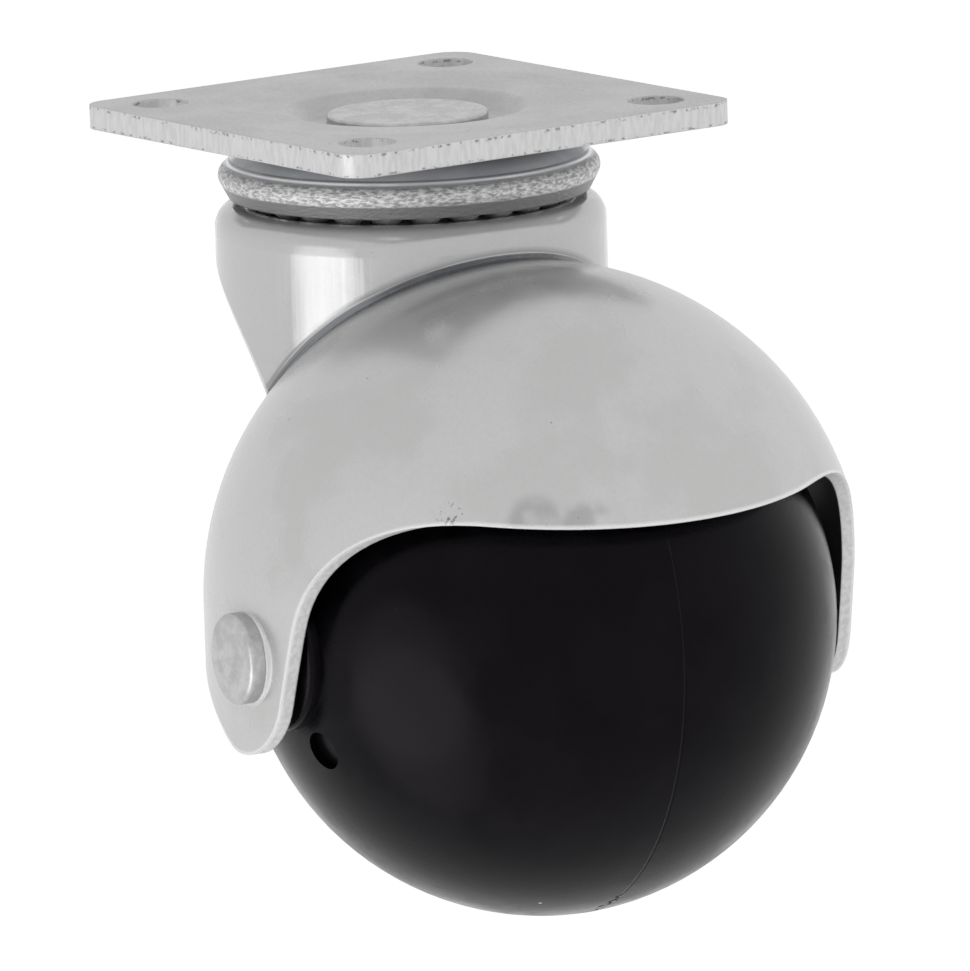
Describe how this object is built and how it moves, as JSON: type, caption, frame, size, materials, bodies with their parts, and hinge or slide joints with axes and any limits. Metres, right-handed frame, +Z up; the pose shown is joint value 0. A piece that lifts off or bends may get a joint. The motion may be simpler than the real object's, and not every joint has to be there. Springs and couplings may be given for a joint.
{
  "type": "ball castor",
  "caption": "Swivelling ball castor: a moulded ball on an axle under a domed steel hood, hung from a square screw-on plate by a ball-bearing swivel.",
  "frame": {"origin": "middle of the plate's top face, on the swivel axis", "axes": "+Z up along the swivel axis, out of the plate's top face; X and Y along the plate's sides. At rest the ball trails towards +X, turned -8.2 degrees about Z."},
  "size_m": [0.0659, 0.0576, 0.066],
  "materials": {
    "plate_zinc": "bright zinc plated, fine grain, sheared edges",
    "race_zinc": "bright zinc plated pressed steel",
    "hood_zinc": "satin bright zinc plated deep-drawn steel",
    "rivet_zinc": "bright zinc plated rivet steel",
    "bearing_steel": "hardened steel balls with grease",
    "ball_black": "black moulded plastic with a soft gloss"
  },
  "bodies": {
    "plate": {"top_plate": "plate_zinc", "upper_race": "race_zinc", "kingpin": "rivet_zinc", "lower_race": "race_zinc"},
    "fork": {"hood": "hood_zinc", "axle": "rivet_zinc"},
    "wheel": {"ball_wheel": "ball_black"},
    "upper_ball_row": {"upper_ball_01": "bearing_steel", "upper_ball_02": "bearing_steel", "upper_ball_03": "bearing_steel", "upper_ball_04": "bearing_steel", "upper_ball_05": "bearing_steel", "upper_ball_06": "bearing_steel", "upper_ball_07": "bearing_steel", "upper_ball_08": "bearing_steel", "upper_ball_09": "bearing_steel", "upper_ball_10": "bearing_steel", "upper_ball_11": "bearing_steel", "upper_ball_12": "bearing_steel", "upper_ball_13": "bearing_steel", "upper_ball_14": "bearing_steel", "upper_ball_15": "bearing_steel", "upper_ball_16": "bearing_steel", "upper_ball_17": "bearing_steel", "upper_ball_18": "bearing_steel", "upper_ball_19": "bearing_steel", "upper_ball_20": "bearing_steel", "upper_ball_21": "bearing_steel", "upper_ball_22": "bearing_steel", "upper_ball_23": "bearing_steel", "upper_ball_24": "bearing_steel"},
    "lower_ball_row": {"lower_ball_01": "bearing_steel", "lower_ball_02": "bearing_steel", "lower_ball_03": "bearing_steel", "lower_ball_04": "bearing_steel", "lower_ball_05": "bearing_steel", "lower_ball_06": "bearing_steel", "lower_ball_07": "bearing_steel", "lower_ball_08": "bearing_steel", "lower_ball_09": "bearing_steel", "lower_ball_10": "bearing_steel", "lower_ball_11": "bearing_steel", "lower_ball_12": "bearing_steel", "lower_ball_13": "bearing_steel", "lower_ball_14": "bearing_steel"}
  },
  "joints": [
    {"name": "swivel", "type": "hinge", "parent": "plate", "child": "fork", "pos_m": [0, 0, 0], "axis": [0, 0, 1], "continuous": true},
    {"name": "ball_roll", "type": "hinge", "parent": "fork", "child": "wheel", "pos_m": [0.02079, -0.003, -0.04104], "axis": [0.1426, 0.9898, 0], "continuous": true},
    {"name": "upper_row_orbit", "type": "hinge", "parent": "plate", "child": "upper_ball_row", "pos_m": [0, 0, 0], "axis": [0, 0, 1], "continuous": true},
    {"name": "lower_row_orbit", "type": "hinge", "parent": "plate", "child": "lower_ball_row", "pos_m": [0, 0, 0], "axis": [0, 0, 1], "continuous": true}
  ],
  "couplings": [
    {"joint": "upper_row_orbit", "follows": "swivel", "ratio": 0.5},
    {"joint": "lower_row_orbit", "follows": "swivel", "ratio": 0.5}
  ]
}
